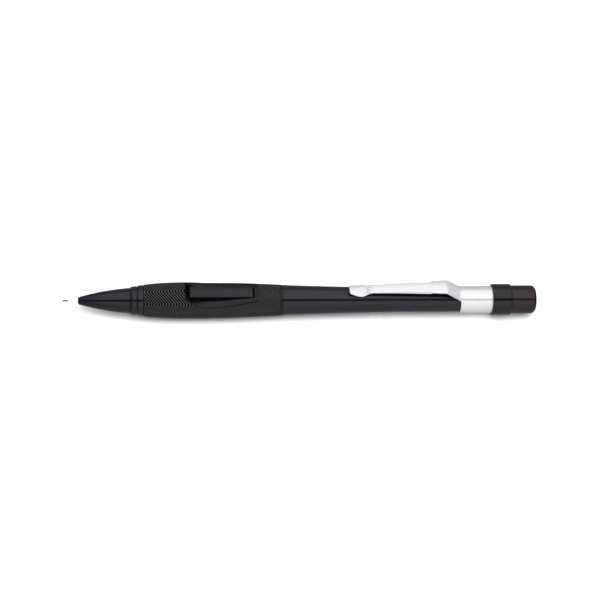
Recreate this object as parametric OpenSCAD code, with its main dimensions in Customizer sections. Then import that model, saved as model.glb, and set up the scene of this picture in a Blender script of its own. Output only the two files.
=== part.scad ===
// Side-button mechanical pencil, lying along X with its tip towards -X and its clip on top.
// Inside the modules, X is the station: the distance from the lead's tip along the pencil's axis.
// Y is across the pencil, and Z is the height above its axis.

/* [Lead and sleeve] */
// Diameter of the lead
lead_d = 0.5; // [0.3, 0.5]
// Length of lead that stands out of the sleeve
lead_out = 1.6; // [1:0.1:2]
// Length of the lead in use
lead_l = 58; // [40:1:60]
// Outer diameter of the guide sleeve
sleeve_d = 0.9; // [0.85:0.05:0.95]
// Length of sleeve that stands out of the nose, which is also how far it slides back
sleeve_out = 3.2; // [2.5:0.1:3.2]

/* [Nose] */
// Length of the nose
nose_l = 16; // [16:0.1:17]
// Diameter of the nose at its tip
nose_tip_d = 2.2; // [1.8:0.1:2.4]
// Diameter of the nose at its base
nose_base_d = 7.9; // [7.6:0.1:8.2]

/* [Grip] */
// Length of the rubber grip
grip_l = 47; // [46:0.5:50]
// Diameter at the front edge of the grip
grip_front_d = 8.4; // [8.2:0.1:8.8]
// Largest diameter of the grip
grip_max_d = 11.3; // [10.9:0.1:12]
// Diameter at the rear edge of the grip
grip_rear_d = 9.7; // [9.6:0.1:10]
// Inner diameter of the grip, where it sits on the barrel
grip_bore_d = 7.26; // [7.22:0.02:7.3]

/* [Barrel] */
// Visible length of the barrel, from the grip to the clip's band
barrel_l = 56; // [54:0.2:60]
// Diameter of the barrel behind the grip
barrel_front_d = 9.5; // [9.3:0.1:9.6]
// Diameter of the barrel's straight rear half
barrel_d = 7.74; // [7.7:0.02:7.8]
// Diameter of the main bore
bore_d = 5.5; // [5.4:0.05:5.5]

/* [Side button] */
// Distance from the front edge of the grip to the front of the button
button_setback = 18.2; // [17.8:0.1:18.4]
// Length of the button
button_l = 19.7; // [19.5:0.1:20]
// Width of the button
button_w = 4.1; // [4:0.02:4.2]
// Height of the button's top above the pencil's axis
button_top = 4.4; // [4.3:0.05:4.6]
// Slope of the cam that the button's legs push, in degrees from the axis
cam_slope = 34; // [33:0.5:35]

/* [Clip and band] */
// Length of the clip, from its tip to the band
clip_l = 35.1; // [34:0.1:37]
// Width of the clip at its root
clip_root_w = 5.3; // [5:0.1:5.5]
// Width of the clip's arm behind its lobe
clip_neck_w = 3.3; // [2.7:0.1:3.6]
// Width of the lobe at the clip's tip
clip_lobe_w = 4.6; // [4.2:0.1:5]
// Height of the clip's highest face above the pencil's axis
clip_top = 6.8; // [6.6:0.1:7]
// Thickness of the clip's metal
clip_t = 0.45; // [0.4:0.05:0.5]
// Length of the band
band_l = 10.1; // [9:0.1:11]
// Outer diameter of the band
band_d = 8.5; // [8.4:0.05:8.6]

/* [Collar and cap] */
// Length of the collar
collar_l = 6.1; // [5.9:0.1:7]
// Diameter of the collar
collar_d = 9.8; // [9.6:0.1:10]
// Length of cap that shows behind the collar
cap_l = 8; // [8:0.1:9]
// Diameter of the cap
cap_d = 8.9; // [8.7:0.05:9]
// Radius of the cap's rounded edge
cap_edge_r = 1.5; // [1:0.1:1.6]

/* [Hidden] */
$fn = 96;

// Clearances: a face that rests against another, a running fit and a loose fit
face_gap = 0.05;
run_gap = 0.05;
loose_gap = 0.1;
// Steps in a curved outline
steps = 24;
// Something larger than the whole pencil's girth, for cutting
girth = 14;

// Stations of the outside, from the lead's tip
sleeve_s = lead_out;
nose_s = sleeve_s + sleeve_out;
grip_s = nose_s + nose_l;
grip_end_s = grip_s + grip_l;
band_s = grip_end_s + barrel_l;
collar_s = band_s + band_l;
cap_s = collar_s + collar_l;
overall_l = cap_s + cap_l;
axis_h = grip_max_d / 2;

// Stations of the mechanism
slider_s = nose_s + 3.3;
slider_l = 4.5;
sleeve_end_s = slider_s + 2.4;
lip_pocket_s = nose_s + 11.2;
chuck_s = nose_s + 13.4;
ring_s = chuck_s + 1.4;
ring_l = 1.6;
ring_stroke = 0.55;
housing_s = ring_s - 0.3;
spring_s = ring_s + 3.6;
spring_end_s = spring_s + 9.2;
stem_end_s = spring_end_s - 0.4;
flange_s = grip_s + 5.8;
shoulder_s = flange_s + 0.8;
housing_end_s = grip_s + 15.2;
tube_s = spring_end_s + 1;
tube_end_s = band_s - 4;
front_rib_s = grip_end_s - 2;
rear_rib_s = band_s - 10;
rib_l = 1;
plug_s = band_s - 0.2;

// Radii of the mechanism
lead_r = lead_d / 2;
lead_hole_r = lead_r + 0.02;
lead_bore_r = lead_r + 0.03;
sleeve_r = sleeve_d / 2;
slider_r = 1.15;
lip_r = 1.5;
jaw_r = 1.2;
stem_r = 0.95;
ring_r = 1.8;
housing_r = 2.15;
housing_bore_r = 1.85;
spring_r = 1.45;
wire_r = 0.15;
spring_turns = 11;
jaw_slit_w = 0.24;
tube_r = 1.3;
tube_bore_r = 1.05;
bore_r = bore_d / 2;
socket_r = 2.95;
spigot_r = socket_r - run_gap;
core_r = grip_bore_d / 2 - 0.03;

// The button, its pivot and its legs
button_s = grip_s + button_setback;
button_end_s = button_s + button_l;
button_skin = 0.85;
window_w = button_w + 0.3;
pivot_s = button_end_s - 1.7;
pivot_h = 1.9;
pivot_r = 0.45;
leg_s = button_s + 4.4;
leg_h = 0.9;
leg_t = 0.5;
toe_r = 0.4;
leg_inner_w = 3;
trunnion_reach = 2.65;
button_floor_h = 2.75;
button_bevel = 0.3;

// The dish in the grip: its ends, its lowest floor and the stretch that is level
dish_s = button_s - 1.7;
dish_end_s = button_end_s + 1.4;
dish_low_h = 3.04;
dish_rear_h = 4;
dish_level_s = button_s + 6;
dish_rise_s = button_s + 8;

// The clip
clip_s = band_s - clip_l;
lobe_s = clip_s + 4.1;
neck_s = clip_s + 6.8;
fold_end_s = band_s - 9.6;
bend_s = band_s - 5;
band_bore_r = band_d / 2 - 0.4;

// The cap over the neck of the eraser holder
neck_r = 3.65;
neck_end_s = cap_s + 1;
eraser_r = 3.2;
cap_bore_r = neck_r + run_gap;
cap_skirt = 2.9;
cap_skirt_s = cap_s - cap_skirt;
cap_end_t = 1.2;
eraser_s = collar_s + 1.3;
eraser_end_s = overall_l - 1.8;

// ---------- shared shapes ----------

// Moves a shape from stations and heights to the part's own frame.
module in_place()
    translate([-overall_l / 2, 0, axis_h]) children();

// A solid of revolution from [radius, station] points.
module turned(profile)
    rotate([0, 90, 0]) rotate_extrude() polygon(profile);

// A straight rod along the axis.
module rod(r, from, to)
    translate([from, 0, 0]) rotate([0, 90, 0]) cylinder(h = to - from, r = r);

// A straight tube along the axis.
module pipe(r, bore, from, to)
    difference() {
        rod(r, from, to);
        rod(bore, from - 1, to + 1);
    }

// A side view in [station, height] points, w wide and centred across the pencil.
module side_plate(points, w)
    translate([0, w / 2, 0]) rotate([90, 0, 0]) linear_extrude(w) polygon(points);

// A cross-section in [across, height] points, drawn out between two stations.
module section(points, from, to)
    translate([from, 0, 0]) rotate([90, 0, 90]) linear_extrude(to - from) polygon(points);

// A box between two stations and two heights.
module block(from, to, low, high, w)
    translate([from, -w / 2, low]) cube([to - from, w, high - low]);

// The same shape on both sides of the pencil.
module both_sides() {
    children();
    mirror([0, 1, 0]) children();
}

function mirrored(points) =
    concat(points, [for (i = [len(points) - 1:-1:0]) [points[i][0], -points[i][1]]]);
function smooth(t) = t * t * (3 - 2 * t);

// ---------- outlines ----------

// Radius of the nose: a gently swelling bullet, with t from its tip to its base.
function nose_r(t) = nose_tip_d / 2 + (nose_base_d - nose_tip_d) / 2 * (1.62 * t - 0.62 * t * t);

// Radius of the grip at a station: it swells from the front, then tapers off to the rear.
grip_swell_s = grip_s + 19.2;
grip_taper_s = grip_s + 23.2;
function grip_r(s) =
    s < grip_swell_s
        ? (grip_max_d - (grip_max_d - grip_front_d)
            * pow((grip_swell_s - s) / (grip_swell_s - grip_s), 2.8)) / 2
    : s < grip_taper_s
        ? grip_max_d / 2
        : (grip_max_d - (grip_max_d - grip_rear_d)
            * pow((s - grip_taper_s) / (grip_end_s - grip_taper_s), 1.4)) / 2;

// Radius of the visible barrel at a station.
barrel_straight_s = grip_end_s + 37;
function barrel_r(s) =
    s > barrel_straight_s
        ? barrel_d / 2
        : (barrel_d + (barrel_front_d - barrel_d)
            * pow((barrel_straight_s - s) / (barrel_straight_s - grip_end_s), 1.45)) / 2;

// Height of the dish's floor at a station: a steep quarter-ellipse in front and a slow rise behind.
function dish_h(s) =
    s < dish_level_s
        ? dish_low_h + (grip_max_d / 2 - dish_low_h)
            * (1 - sqrt(max(0, 1 - pow((dish_level_s - s) / (dish_level_s - dish_s), 2))))
    : s < dish_rise_s
        ? dish_low_h
        : dish_low_h + (dish_rear_h - dish_low_h) * smooth((s - dish_rise_s) / (dish_end_s - dish_rise_s));

// ---------- lead and sleeve ----------

module lead() color("dimgray") in_place()
    rod(lead_r, 0, lead_l);

module spare_leads() color("dimgray") in_place()
    for (turn = [0:120:240])
        rotate([turn, 0, 0]) translate([0, 0, 0.7]) rod(lead_r, tube_s + 5, tube_s + 65);

module lead_sleeve() color("silver") in_place()
    turned([
        [lead_bore_r, sleeve_s],
        [sleeve_r - 0.1, sleeve_s],
        [sleeve_r, sleeve_s + 0.25],
        [sleeve_r, sleeve_end_s],
        [lead_bore_r, sleeve_end_s]
    ]);

module sleeve_slider() color("goldenrod") in_place()
    turned([
        [sleeve_r, slider_s],
        [slider_r - 0.2, slider_s],
        [slider_r, slider_s + 0.3],
        [slider_r, slider_s + slider_l],
        [slider_r - 0.25, slider_s + slider_l],
        [slider_r - 0.25, sleeve_end_s + 0.1],
        [sleeve_r, sleeve_end_s + 0.1]
    ]);

module lead_retainer() color("black") in_place()
    turned([
        [lead_r + 0.01, slider_s + 2.8],
        [slider_r - 0.25, slider_s + 2.55],
        [slider_r - 0.25, slider_s + slider_l - 0.3],
        [0.7, slider_s + slider_l - 0.3],
        [lead_r + 0.01, slider_s + 3.6]
    ]);

// ---------- nose ----------

module nose_cone() color([0.06, 0.06, 0.07]) in_place()
    difference() {
        turned(concat(
            [[0, nose_s + 0.05], [nose_tip_d / 2 - 0.2, nose_s]],
            [for (i = [0:steps]) [nose_r(i / steps), nose_s + 0.15 + (nose_l - 0.15) * i / steps]],
            [[spigot_r, grip_s], [spigot_r, flange_s - face_gap], [0, flange_s - face_gap]]
        ));
        rod(sleeve_r + run_gap, nose_s - 1, slider_s);
        rod(slider_r + loose_gap, slider_s - 0.1, lip_pocket_s);
        rod(lip_r + 0.06, lip_pocket_s - face_gap, ring_s - ring_stroke);
        rod(housing_r + run_gap, ring_s - ring_stroke, flange_s + 1);
    }

// ---------- chuck ----------

module chuck() color("gold") in_place()
    difference() {
        turned([
            [0, chuck_s],
            [lip_r - 0.25, chuck_s],
            [lip_r, chuck_s + 0.25],
            [lip_r, chuck_s + 0.7],
            [jaw_r, chuck_s + 1.15],
            [jaw_r, chuck_s + 5.4],
            [stem_r, chuck_s + 6],
            [stem_r, stem_end_s],
            [0, stem_end_s]
        ]);
        rod(lead_hole_r, chuck_s - 1, spring_end_s);
        rod(0.5, chuck_s + 2.8, spring_end_s);
        for (turn = [0:120:240])
            rotate([turn, 0, 0]) translate([chuck_s - 1, -jaw_slit_w / 2, 0])
                cube([9.8, jaw_slit_w, 2]);
    }

module clutch_ring() color("darkgoldenrod") in_place()
    turned([
        [jaw_r + 0.02, ring_s],
        [ring_r - 0.15, ring_s],
        [ring_r, ring_s + 0.15],
        [ring_r, ring_s + ring_l - 0.3],
        [ring_r - 0.3, ring_s + ring_l],
        [jaw_r + 0.02, ring_s + ring_l]
    ]);

module chuck_housing() color([0.2, 0.2, 0.21]) in_place()
    turned([
        [housing_bore_r, housing_s],
        [housing_r, housing_s],
        [housing_r, flange_s],
        [spigot_r, flange_s],
        [spigot_r, shoulder_s - face_gap],
        [bore_r - 0.05, shoulder_s - face_gap],
        [bore_r - 0.05, housing_end_s],
        [housing_bore_r + 0.1, housing_end_s],
        [housing_bore_r + 0.1, shoulder_s],
        [housing_bore_r, shoulder_s],
        [housing_bore_r, spring_s],
        [jaw_r + loose_gap, spring_s],
        [jaw_r + loose_gap, ring_s + ring_l + face_gap],
        [housing_bore_r, ring_s + ring_l + face_gap]
    ]);

// Points round a wire that climbs along a helix, and the faces that join its rings.
spring_rings = spring_turns * 16;
wire_sides = 8;
spring_from_s = spring_s + wire_r + 0.02;
spring_to_s = spring_end_s - wire_r - 0.02;
function spring_point(i, j) =
    let (turn = 360 * spring_turns * i / spring_rings, side = 360 * j / wire_sides)
    let (r = spring_r + wire_r * cos(side))
    [spring_from_s + (spring_to_s - spring_from_s) * i / spring_rings + wire_r * sin(side),
        r * cos(turn), r * sin(turn)];
function ring_index(i, j) = i * wire_sides + j % wire_sides;

module chuck_spring() color("silver") in_place()
    polyhedron(
        points = [for (i = [0:spring_rings], j = [0:wire_sides - 1]) spring_point(i, j)],
        faces = concat(
            [[for (j = [0:wire_sides - 1]) j]],
            [for (i = [0:spring_rings - 1], j = [0:wire_sides - 1])
                [ring_index(i, j), ring_index(i + 1, j), ring_index(i + 1, j + 1), ring_index(i, j + 1)]],
            [[for (j = [wire_sides - 1:-1:0]) ring_index(spring_rings, j)]]
        )
    );

module chuck_joint() color([0.2, 0.2, 0.21]) in_place()
    turned([
        [stem_r, spring_end_s - 2.9],
        [jaw_r, spring_end_s - 2.9],
        [jaw_r, spring_end_s],
        [housing_bore_r, spring_end_s],
        [housing_bore_r, tube_s],
        [tube_bore_r, tube_s],
        [tube_bore_r, tube_s + 3],
        [tube_bore_r - 0.2, tube_s + 3],
        [0.5, tube_s],
        [0.5, stem_end_s],
        [stem_r, stem_end_s]
    ]);

module lead_tube() color([0.2, 0.2, 0.21]) in_place()
    pipe(tube_r, tube_bore_r, tube_s, tube_end_s);

// ---------- cam ----------

// Where a leg's round toe meets the cam at rest, and the ramp through that point.
toe_gap = 0.08;
contact_s = leg_s - (toe_r + toe_gap) * sin(cam_slope);
contact_h = leg_h - (toe_r + toe_gap) * cos(cam_slope);
ramp_high_h = 0.9;
ramp_low_h = -1.3;
function ramp_s(h) = contact_s + (contact_h - h) / tan(cam_slope);
wing_s = button_s + 2.5;
cam_sleeve_s = button_s + 7.4;
cam_end_s = cam_sleeve_s + 2.9;

module cam_slider() color([0.2, 0.2, 0.21]) in_place()
    difference() {
        union() {
            rod(tube_r + 0.35, cam_sleeve_s, cam_end_s);
            intersection() {
                side_plate([
                    [wing_s, ramp_high_h],
                    [ramp_s(ramp_high_h), ramp_high_h],
                    [ramp_s(ramp_low_h), ramp_low_h],
                    [cam_sleeve_s, ramp_low_h],
                    [cam_sleeve_s, 0.5],
                    [cam_end_s, 0.5],
                    [cam_end_s, -1.75],
                    [wing_s, -1.75]
                ], 4);
                both_sides() translate([wing_s - 1, 1.35, -3]) cube([12, 0.65, 6]);
            }
        }
        rod(tube_r, wing_s - 1, cam_end_s + 1);
    }

// ---------- barrel ----------

module barrel() color([0.06, 0.06, 0.07]) in_place()
    difference() {
        turned(concat(
            [[0, grip_s + face_gap], [core_r, grip_s + face_gap], [core_r, grip_end_s + face_gap]],
            [for (i = [0:steps]) let (s = grip_end_s + face_gap + (barrel_straight_s - grip_end_s) * i / steps)
                [barrel_r(s), s]],
            [[barrel_d / 2, band_s - face_gap], [band_bore_r, band_s - face_gap]],
            [[band_bore_r, collar_s - 0.1], [0, collar_s - 0.1]]
        ));
        rod(socket_r, grip_s - 1, shoulder_s);
        rod(tube_r + loose_gap, shoulder_s, plug_s);
        rod(bore_r, shoulder_s - 1, front_rib_s);
        rod(bore_r, front_rib_s + 2 * rib_l, rear_rib_s);
        rod(bore_r, rear_rib_s + rib_l, plug_s);
        rod(socket_r + run_gap, plug_s - 0.5, collar_s + 1);
        block(button_s - 0.5, button_end_s + 0.3, 1, girth / 2, window_w);
        both_sides() translate([pivot_s, 0, pivot_h]) rotate([-90, 0, 0])
            cylinder(h = trunnion_reach + 0.15, r = pivot_r + run_gap);
    }

// ---------- grip ----------

module grip() color([0.09, 0.09, 0.09]) in_place()
    difference() {
        turned(concat(
            [[grip_bore_d / 2, grip_s + face_gap]],
            [for (i = [0:2 * steps]) let (s = grip_s + face_gap + (grip_l - face_gap) * i / (2 * steps))
                [grip_r(s), s]],
            [[grip_bore_d / 2, grip_end_s]]
        ));
        side_plate(concat(
            [for (i = [0:steps]) let (s = dish_s + (dish_end_s - dish_s) * i / steps) [s, dish_h(s)]],
            [[dish_end_s, girth / 2], [dish_s, girth / 2]]
        ), girth);
        block(button_s - 0.6, button_end_s + 0.4, 1, girth / 2, window_w + 0.2);
    }

// ---------- side button ----------

module side_button() color([0.07, 0.07, 0.07]) in_place() {
    difference() {
        intersection() {
            side_plate([
                [button_s, 3.6],
                [button_s + 0.9, button_top],
                [button_end_s - 0.3, button_top],
                [button_end_s, button_top - 0.4],
                [button_end_s, pivot_h - 0.55],
                [pivot_s - 2, pivot_h - 0.55],
                [pivot_s - 3, button_floor_h],
                [button_s, button_floor_h]
            ], girth);
            section(button_section, button_s - 1, button_end_s + 1);
        }
        block(button_s - 1, button_s + 0.6, 1, 3.1, leg_inner_w);
        block(button_s + 0.6, button_end_s - 0.6, 1, button_top - button_skin, leg_inner_w);
        block(button_end_s - 0.7, button_end_s + 1, 1, button_floor_h, leg_inner_w);
    }
    both_sides() translate([pivot_s, button_w / 2 - 0.3, pivot_h])
        rotate([-90, 0, 0]) cylinder(h = trunnion_reach - button_w / 2 + 0.3, r = pivot_r);
    both_sides() translate([0, leg_inner_w / 2 + leg_t, 0]) rotate([90, 0, 0]) linear_extrude(leg_t) {
        translate([leg_s, leg_h]) circle(toe_r);
        polygon([[leg_s - toe_r, leg_h], [leg_s + toe_r, leg_h], [leg_s + 1.2, 2.8], [leg_s - 0.8, 2.8]]);
    }
}

// The button's outline across the pencil, with a bevel along its top edges.
button_section = [
    [-button_w / 2, 1],
    [-button_w / 2, button_top - button_bevel],
    [-button_w / 2 + button_bevel, button_top],
    [button_w / 2 - button_bevel, button_top],
    [button_w / 2, button_top - button_bevel],
    [button_w / 2, 1]
];

// ---------- clip ----------

// Outer face of the clip's arm in [station, height] points, from its tip to its bend.
clip_line = [
    [clip_s, clip_top - 1.45],
    [clip_s + 1.8, clip_top - 1.8],
    [lobe_s, clip_top - 1.9],
    [clip_s + 5.6, clip_top - 1.55],
    [clip_s + 7.3, clip_top - 1.05],
    [clip_s + 13.8, clip_top - 0.65],
    [clip_s + 24.8, clip_top - 0.3],
    [clip_s + 29.3, clip_top - 0.05],
    [bend_s, clip_top]
];
function lowered(points, drop) =
    [for (i = [len(points) - 1:-1:0]) [points[i][0], points[i][1] - drop]];

// The arm's outline from above, inset by the given amount.
module clip_plan(inset)
    translate([0, 0, 1]) linear_extrude(girth / 2) polygon(mirrored([
        [clip_s, clip_lobe_w / 2 - 0.8 - inset],
        [clip_s + 0.4, clip_lobe_w / 2 - 0.6 - inset],
        [clip_s + 2.4, clip_lobe_w / 2 - 0.15 - inset],
        [clip_s + 3.7, clip_lobe_w / 2 - inset],
        [clip_s + 4.6, clip_lobe_w / 2 - 0.15 - inset],
        [clip_s + 5.8, clip_neck_w / 2 + 0.05 - inset],
        [neck_s, clip_neck_w / 2 - inset],
        [fold_end_s, clip_root_w / 2 - 0.25 - inset],
        [bend_s, clip_root_w / 2 - inset]
    ]));

module clip_arm() color("gainsboro") in_place() {
    intersection() {
        side_plate(concat(clip_line, lowered(clip_line, clip_t)), girth);
        clip_plan(0);
    }
    intersection() {
        side_plate([
            [neck_s, clip_top - 1.2],
            [fold_end_s, clip_top - 0.35],
            [fold_end_s, clip_top - 1.35],
            [neck_s, clip_top - 1.8]
        ], girth);
        difference() {
            clip_plan(0);
            clip_plan(clip_t);
        }
    }
    intersection() {
        translate([lobe_s, 0, clip_top - 1.1]) sphere(1.6);
        block(clip_s, neck_s, 3, clip_top - 2.1, 3);
    }
    intersection() {
        turned([
            [clip_top - clip_t, bend_s],
            [clip_top, bend_s],
            [band_d / 2 + 1.15, band_s - 2.4],
            [band_d / 2, band_s - 0.25],
            [band_bore_r + 0.15, band_s - 0.25],
            [band_d / 2 + 0.6, band_s - 2.4]
        ]);
        block(bend_s, band_s, 1, girth / 2, clip_root_w);
    }
}

module clip_band() color("gainsboro") in_place()
    pipe(band_d / 2, band_bore_r, band_s, collar_s - face_gap);

// ---------- eraser end ----------

module eraser_holder() color([0.1, 0.1, 0.1]) in_place()
    turned([
        [0, collar_s],
        [2.2, collar_s],
        [2.2, band_s + 0.3],
        [socket_r - 0.3, band_s + 0.3],
        [socket_r, band_s + 0.6],
        [socket_r, collar_s],
        [collar_d / 2 - 0.3, collar_s],
        [collar_d / 2, collar_s + 0.3],
        [collar_d / 2, cap_s - 0.35],
        [collar_d / 2 - 0.2, cap_s],
        [cap_d / 2 + run_gap, cap_s],
        [cap_d / 2 + run_gap, cap_skirt_s - face_gap],
        [neck_r, cap_skirt_s - face_gap],
        [neck_r, neck_end_s],
        [eraser_r, neck_end_s],
        [eraser_r, eraser_s],
        [0, eraser_s]
    ]);

module eraser() color("white") in_place()
    turned([
        [0, eraser_s],
        [eraser_r, eraser_s],
        [eraser_r, eraser_end_s - 0.5],
        [eraser_r - 0.5, eraser_end_s],
        [0, eraser_end_s]
    ]);

module eraser_cap() color([0.2, 0.14, 0.15]) in_place()
    difference() {
        turned(concat(
            [[0, cap_skirt_s], [cap_d / 2 - 0.15, cap_skirt_s], [cap_d / 2, cap_skirt_s + 0.15]],
            [for (i = [0:8]) let (turn = 90 * i / 8)
                [cap_d / 2 - cap_edge_r * (1 - cos(turn)), overall_l - cap_edge_r * (1 - sin(turn))]],
            [[0, overall_l]]
        ));
        rod(cap_bore_r, cap_skirt_s - 1, overall_l - cap_end_t);
    }

lead();
lead_sleeve();
lead_retainer();
sleeve_slider();
nose_cone();
chuck();
clutch_ring();
chuck_housing();
chuck_spring();
chuck_joint();
lead_tube();
spare_leads();
cam_slider();
barrel();
grip();
side_button();
clip_arm();
clip_band();
eraser_holder();
eraser();
eraser_cap();
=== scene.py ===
"""Looks of the side-button mechanical pencil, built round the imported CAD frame.

Lengths in this file are millimetres until the mesh is made. A place on the pencil is given by its
station, which is the distance from the lead's tip, by y across the pencil, and by h above its axis.
"""

import math

import bmesh
import bpy
from mathutils import Matrix, Vector


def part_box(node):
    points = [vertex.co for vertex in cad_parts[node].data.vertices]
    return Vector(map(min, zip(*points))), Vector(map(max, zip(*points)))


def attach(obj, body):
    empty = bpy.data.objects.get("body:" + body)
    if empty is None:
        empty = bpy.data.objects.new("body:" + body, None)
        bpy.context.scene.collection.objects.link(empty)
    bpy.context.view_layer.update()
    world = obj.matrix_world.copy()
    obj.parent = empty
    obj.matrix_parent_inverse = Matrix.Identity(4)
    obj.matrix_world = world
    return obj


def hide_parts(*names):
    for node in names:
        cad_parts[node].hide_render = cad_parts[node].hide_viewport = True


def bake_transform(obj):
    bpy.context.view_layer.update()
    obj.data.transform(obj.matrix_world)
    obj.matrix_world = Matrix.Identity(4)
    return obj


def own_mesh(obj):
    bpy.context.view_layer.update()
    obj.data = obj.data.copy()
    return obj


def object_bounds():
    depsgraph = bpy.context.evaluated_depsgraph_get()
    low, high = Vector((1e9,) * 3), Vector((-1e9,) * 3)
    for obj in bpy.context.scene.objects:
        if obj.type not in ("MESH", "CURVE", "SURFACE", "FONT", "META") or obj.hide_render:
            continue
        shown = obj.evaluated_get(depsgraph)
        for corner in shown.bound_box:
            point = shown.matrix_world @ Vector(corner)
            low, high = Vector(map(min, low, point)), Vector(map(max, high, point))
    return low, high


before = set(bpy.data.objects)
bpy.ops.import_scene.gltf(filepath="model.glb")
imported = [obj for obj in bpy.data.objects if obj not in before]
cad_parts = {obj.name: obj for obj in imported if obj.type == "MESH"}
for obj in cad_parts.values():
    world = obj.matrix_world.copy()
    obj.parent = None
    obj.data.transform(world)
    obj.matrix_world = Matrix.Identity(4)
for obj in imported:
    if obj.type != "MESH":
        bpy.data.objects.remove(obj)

MM = 0.001
cad_low, cad_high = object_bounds()

# ---------------------------------------------------------------- places, read from the frame

LENGTH = (cad_high.x - cad_low.x) / MM
AXIS_H = (cad_high.y - cad_low.y) / 2 / MM


def at(s, y, h):
    """The point at a station, a distance across and a height above the axis, in metres."""
    return Vector(((s - LENGTH / 2) * MM, y * MM, (h + AXIS_H) * MM))


def span(node):
    """First and last station of a CAD node."""
    low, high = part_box(node)
    return low.x / MM + LENGTH / 2, high.x / MM + LENGTH / 2


def radius(node):
    """Largest radius of a round CAD node."""
    low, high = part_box(node)
    return (high.y - low.y) / 2 / MM


SLEEVE_S, SLEEVE_END_S = span("lead_sleeve")
NOSE_S, SPIGOT_END_S = span("nose_cone")
GRIP_S, GRIP_END_S = span("grip")
BUTTON_S, BUTTON_END_S = span("side_button")
CLIP_S = span("clip_arm")[0]
BAND_S, BAND_END_S = span("clip_band")
HOLDER_S, HOLDER_END_S = span("eraser_holder")
CAP_S, CAP_END_S = span("eraser_cap")
ERASER_S, ERASER_END_S = span("eraser")

# Gap between the faces of neighbouring pieces.
FACE_GAP = 0.05
NOSE_END_S = GRIP_S - FACE_GAP
COLLAR_S = BAND_END_S + FACE_GAP
COLLAR_END_S = HOLDER_END_S - 1

# Sides of the large turned pieces.
FINE = 160

# ---------------------------------------------------------------- mesh helpers


def smooth_step(t):
    t = min(1, max(0, t))
    return t * t * (3 - 2 * t)


def mix(a, b, t):
    return a + (b - a) * t


def through(points, x):
    """Value at x of a smooth curve through (x, value) points, level at its two ends."""
    if x <= points[0][0]:
        return points[0][1]
    for (x0, v0), (x1, v1) in zip(points, points[1:]):
        if x <= x1:
            i = points.index((x0, v0))
            before = points[max(i - 1, 0)]
            after = points[min(i + 2, len(points) - 1)]
            slope0 = (v1 - before[1]) / (x1 - before[0])
            slope1 = (after[1] - v0) / (after[0] - x0)
            t, width = (x - x0) / (x1 - x0), x1 - x0
            return (
                (2 * t**3 - 3 * t**2 + 1) * v0
                + (t**3 - 2 * t**2 + t) * width * slope0
                + (3 * t**2 - 2 * t**3) * v1
                + (t**3 - t**2) * width * slope1
            )
    return points[-1][1]


def fillet(outline, steps=4):
    """Rounds the corners of a closed outline of (station, radius, corner radius) points."""
    done = []
    count = len(outline)
    for i, (x, y, r) in enumerate(outline):
        here = Vector((x, y))
        before = Vector(outline[i - 1][:2]) - here
        after = Vector(outline[(i + 1) % count][:2]) - here
        if r <= 0 or before.length < 1e-6 or after.length < 1e-6:
            done.append((x, y))
            continue
        half = before.angle(after) / 2
        reach = min(r / math.tan(half), before.length * 0.49, after.length * 0.49)
        start, end = here + before.normalized() * reach, here + after.normalized() * reach
        for k in range(steps + 1):
            t = k / steps
            p = start * (1 - t) ** 2 + here * 2 * t * (1 - t) + end * t * t
            done.append((p.x, p.y))
    return done


def finish_mesh(bm, name, material, sharp=35):
    """Makes an object of a bmesh whose vertices are (station, y, h), with edges past an angle kept sharp."""
    bmesh.ops.remove_doubles(bm, verts=bm.verts, dist=1e-4)
    bmesh.ops.dissolve_degenerate(bm, edges=bm.edges, dist=1e-4)
    bmesh.ops.recalc_face_normals(bm, faces=bm.faces)
    for v in bm.verts:
        v.co = at(*v.co)
    mesh = bpy.data.meshes.new(name)
    bm.to_mesh(mesh)
    bm.free()
    mesh.polygons.foreach_set("use_smooth", [True] * len(mesh.polygons))
    mesh.set_sharp_from_angle(angle=math.radians(sharp))
    piece = bpy.data.objects.new(name, mesh)
    bpy.context.scene.collection.objects.link(piece)
    mesh.materials.append(material)
    return piece


def revolve(bm, outline, segments=128):
    """Adds a solid of revolution about the pencil's axis from a closed (station, radius) outline."""
    rings = []
    for s, r in outline:
        if r < 1e-6:
            rings.append([bm.verts.new((s, 0, 0))] * segments)
            continue
        turns = [2 * math.pi * k / segments for k in range(segments)]
        rings.append([bm.verts.new((s, r * math.sin(a), r * math.cos(a))) for a in turns])
    for i, ring in enumerate(rings):
        following = rings[(i + 1) % len(rings)]
        for k in range(segments):
            corners = [ring[k], ring[(k + 1) % segments], following[(k + 1) % segments], following[k]]
            corners = list(dict.fromkeys(corners))
            if len(corners) > 2:
                bm.faces.new(corners)


def lathe(name, outline, material, segments=128, sharp=35):
    """A turned piece from (station, radius, corner radius) points."""
    bm = bmesh.new()
    revolve(bm, fillet(outline), segments)
    return finish_mesh(bm, name, material, sharp)


def prism(bm, outline, low, high, plane="side"):
    """Adds a prism: a (station, h) outline drawn out across y, or a (station, y) outline drawn out in h."""
    rings = []
    for level in (low, high):
        if plane == "side":
            rings.append([bm.verts.new((s, level, h)) for s, h in outline])
        else:
            rings.append([bm.verts.new((s, y, level)) for s, y in outline])
    bm.faces.new(rings[0])
    bm.faces.new(rings[1][::-1])
    for k in range(len(outline)):
        j = (k + 1) % len(outline)
        bm.faces.new([rings[0][k], rings[1][k], rings[1][j], rings[0][j]])


def apply_modifiers(piece):
    """Bakes a piece's modifiers into its mesh."""
    depsgraph = bpy.context.evaluated_depsgraph_get()
    made = bpy.data.meshes.new_from_object(piece.evaluated_get(depsgraph))
    piece.modifiers.clear()
    old = piece.data
    piece.data = made
    made.name = piece.name
    bpy.data.meshes.remove(old)


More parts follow.
